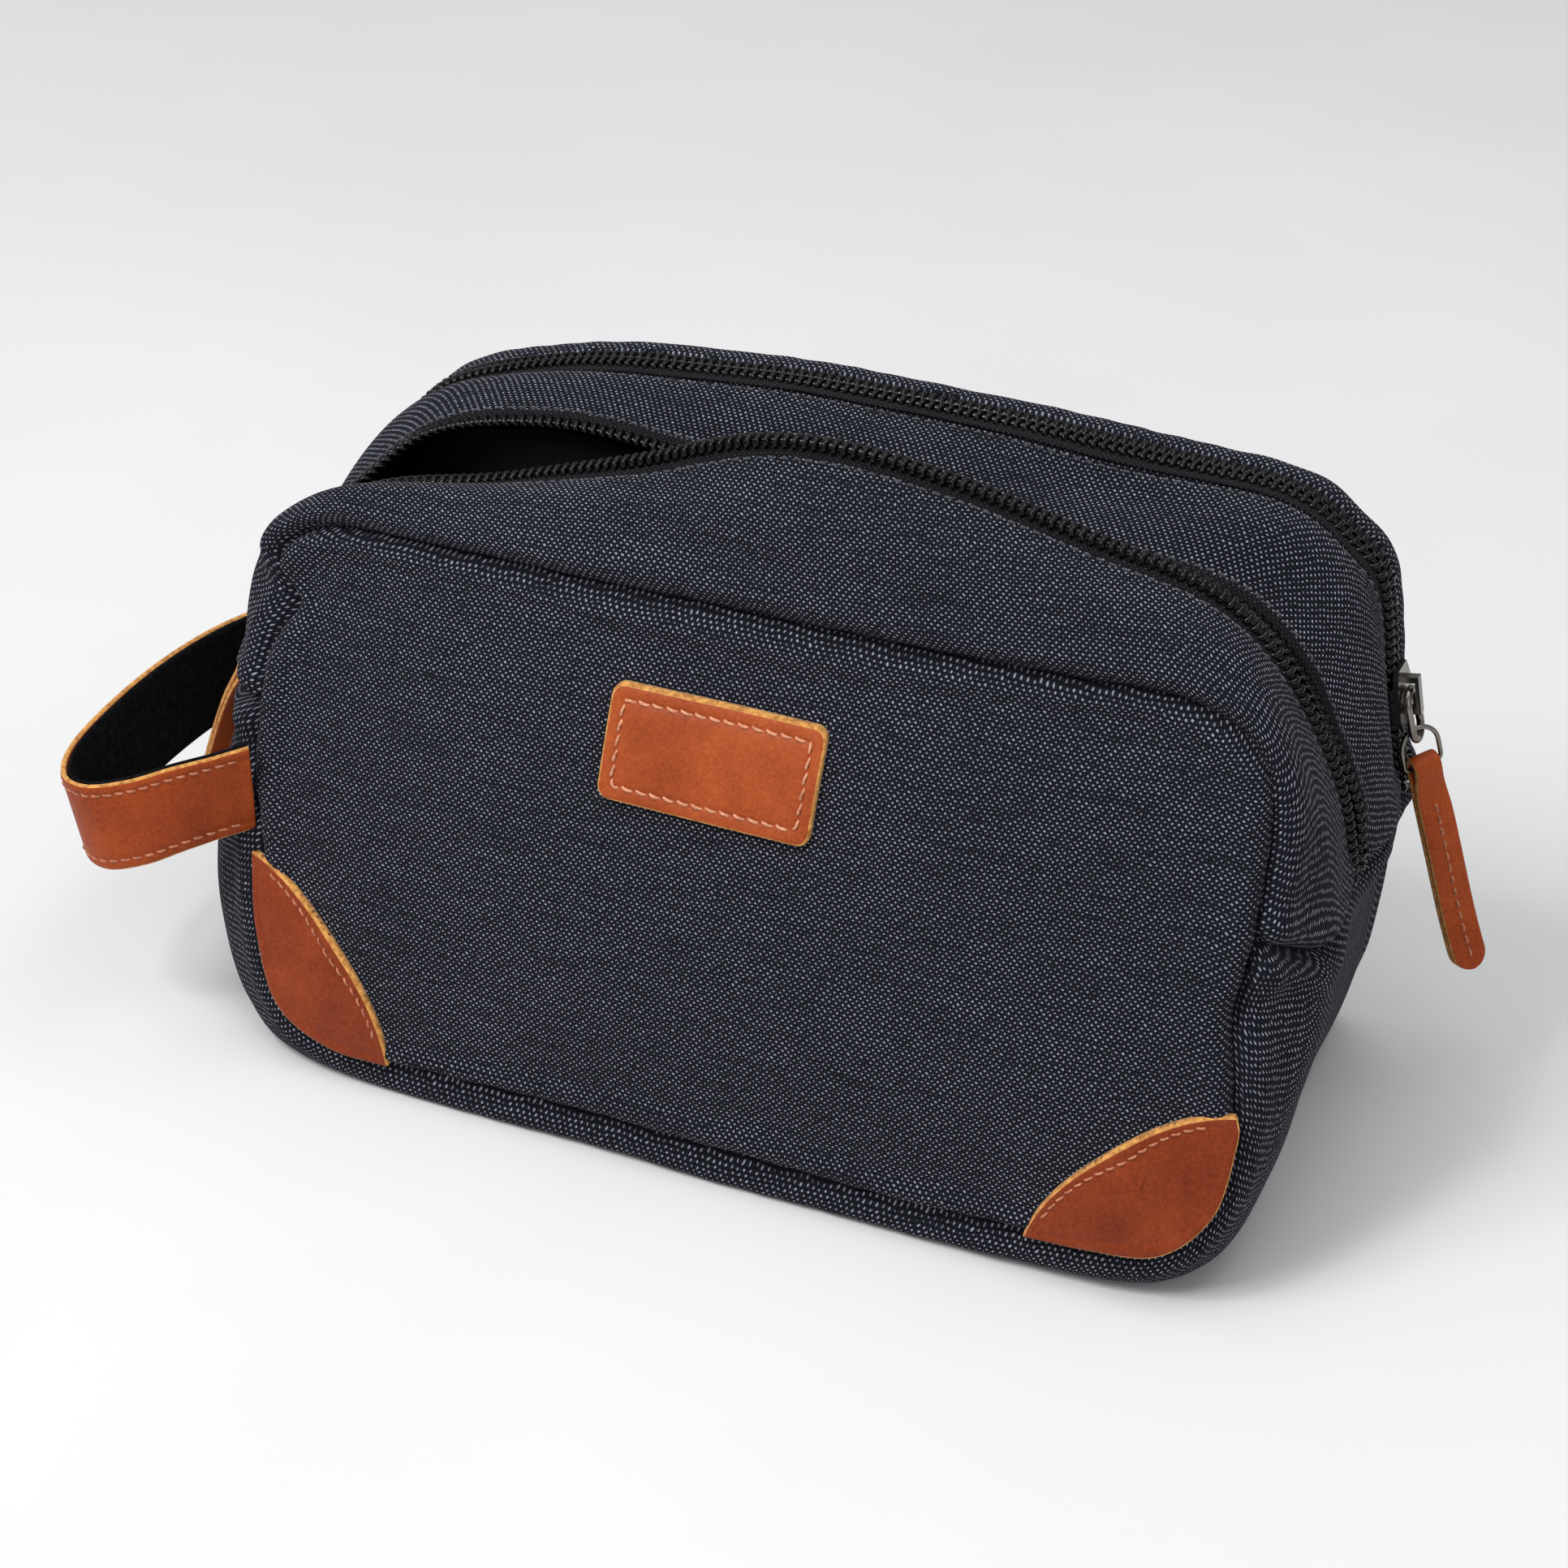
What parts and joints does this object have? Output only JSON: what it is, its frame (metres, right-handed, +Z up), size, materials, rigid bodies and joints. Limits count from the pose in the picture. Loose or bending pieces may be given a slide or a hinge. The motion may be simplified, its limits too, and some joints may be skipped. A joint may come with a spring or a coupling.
{
  "type": "shaving kit bag",
  "caption": "Soft canvas wash bag with two zipped compartments, the front one open, leather corner patches, a blank leather patch and a leather side handle",
  "frame": {"origin": "on the floor under the middle of the flat base", "axes": "+X is the right side seen from the front, -Y is the front, +Z is up"},
  "size_m": [0.3487, 0.1382, 0.169],
  "materials": {
    "canvas": "washed plain-weave canvas",
    "lining": "smooth nylon lining",
    "tape": "woven zip tape",
    "coil": "glossy nylon",
    "leather": "waxed full-grain leather",
    "thread": "waxed polyester thread",
    "felt": "black felt",
    "metal": "gunmetal plate"
  },
  "bodies": {
    "bag": {"front_panel": "canvas", "back_panel": "canvas", "front_gusset": "canvas", "middle_gusset": "canvas", "rear_gusset": "canvas", "lower_gusset": "canvas", "front_panel_lining": "lining", "back_panel_lining": "lining", "front_gusset_lining": "lining", "middle_gusset_lining": "lining", "rear_gusset_lining": "lining", "lower_gusset_lining": "lining", "divider": "lining", "front_zip_tape_front": "tape", "front_zip_tape_rear": "tape", "rear_zip_tape_front": "tape", "rear_zip_tape_rear": "tape", "front_zip_coil_front": "coil", "front_zip_coil_rear": "coil", "rear_zip_coil_front": "coil", "rear_zip_coil_rear": "coil", "front_patch": "leather", "patch_stitching": "thread", "corner_patch_left": "leather", "corner_patch_right": "leather", "corner_stitching_left": "thread", "corner_stitching_right": "thread"},
    "front_slider_body": {"front_slider": "metal"},
    "front_ring": {"front_pull_ring": "metal"},
    "front_link": {"front_pull_link": "metal"},
    "front_tab": {"front_pull_tab": "leather", "front_tab_stitching": "thread"},
    "rear_slider_body": {"rear_slider": "metal"},
    "rear_ring": {"rear_pull_ring": "metal"},
    "rear_link": {"rear_pull_link": "metal"},
    "rear_tab": {"rear_pull_tab": "leather", "rear_tab_stitching": "thread"},
    "handle": {"handle_leather": "leather", "handle_lining": "felt", "handle_stitching": "thread"}
  },
  "joints": [
    {"name": "front_slider_slide", "type": "slide", "parent": "bag", "child": "front_slider_body", "axis": [0, 0, 1], "range_m": [0, 0.003]},
    {"name": "front_ring_swing", "type": "hinge", "parent": "front_slider_body", "child": "front_ring", "pos_m": [-0.14555, -0.008, 0.0945], "axis": [0, 1, 0], "range_deg": [0, 4]},
    {"name": "front_link_swing", "type": "hinge", "parent": "front_ring", "child": "front_link", "pos_m": [-0.15104, -0.008, 0.08272], "axis": [0, 1, 0], "range_deg": [-1, 0]},
    {"name": "front_tab_swing", "type": "hinge", "parent": "front_link", "child": "front_tab", "pos_m": [-0.15421, -0.008, 0.07592], "axis": [0.6064, 0.7431, -0.2828], "range_deg": [-12, 0]},
    {"name": "rear_slider_slide", "type": "slide", "parent": "bag", "child": "rear_slider_body", "axis": [-0.1772, 0, 0.9842], "range_m": [-0.012, 0.005]},
    {"name": "rear_ring_swing", "type": "hinge", "parent": "rear_slider_body", "child": "rear_ring", "pos_m": [0.13595, 0.05, 0.10676], "axis": [0, -1, 0], "range_deg": [0, 95]},
    {"name": "rear_link_swing", "type": "hinge", "parent": "rear_ring", "child": "rear_link", "pos_m": [0.13931, 0.05, 0.0942], "axis": [0, -1, 0], "range_deg": [0, 15]},
    {"name": "rear_tab_swing", "type": "hinge", "parent": "rear_link", "child": "rear_tab", "pos_m": [0.14125, 0.05, 0.08696], "axis": [-0.6463, -0.7431, -0.1732], "range_deg": [-2, 50]},
    {"name": "handle_swing", "type": "hinge", "parent": "bag", "child": "handle", "pos_m": [-0.14425, 0.0065, 0.0595], "axis": [-0.0927, 0.9917, -0.0887], "range_deg": [-1, 30]}
  ]
}
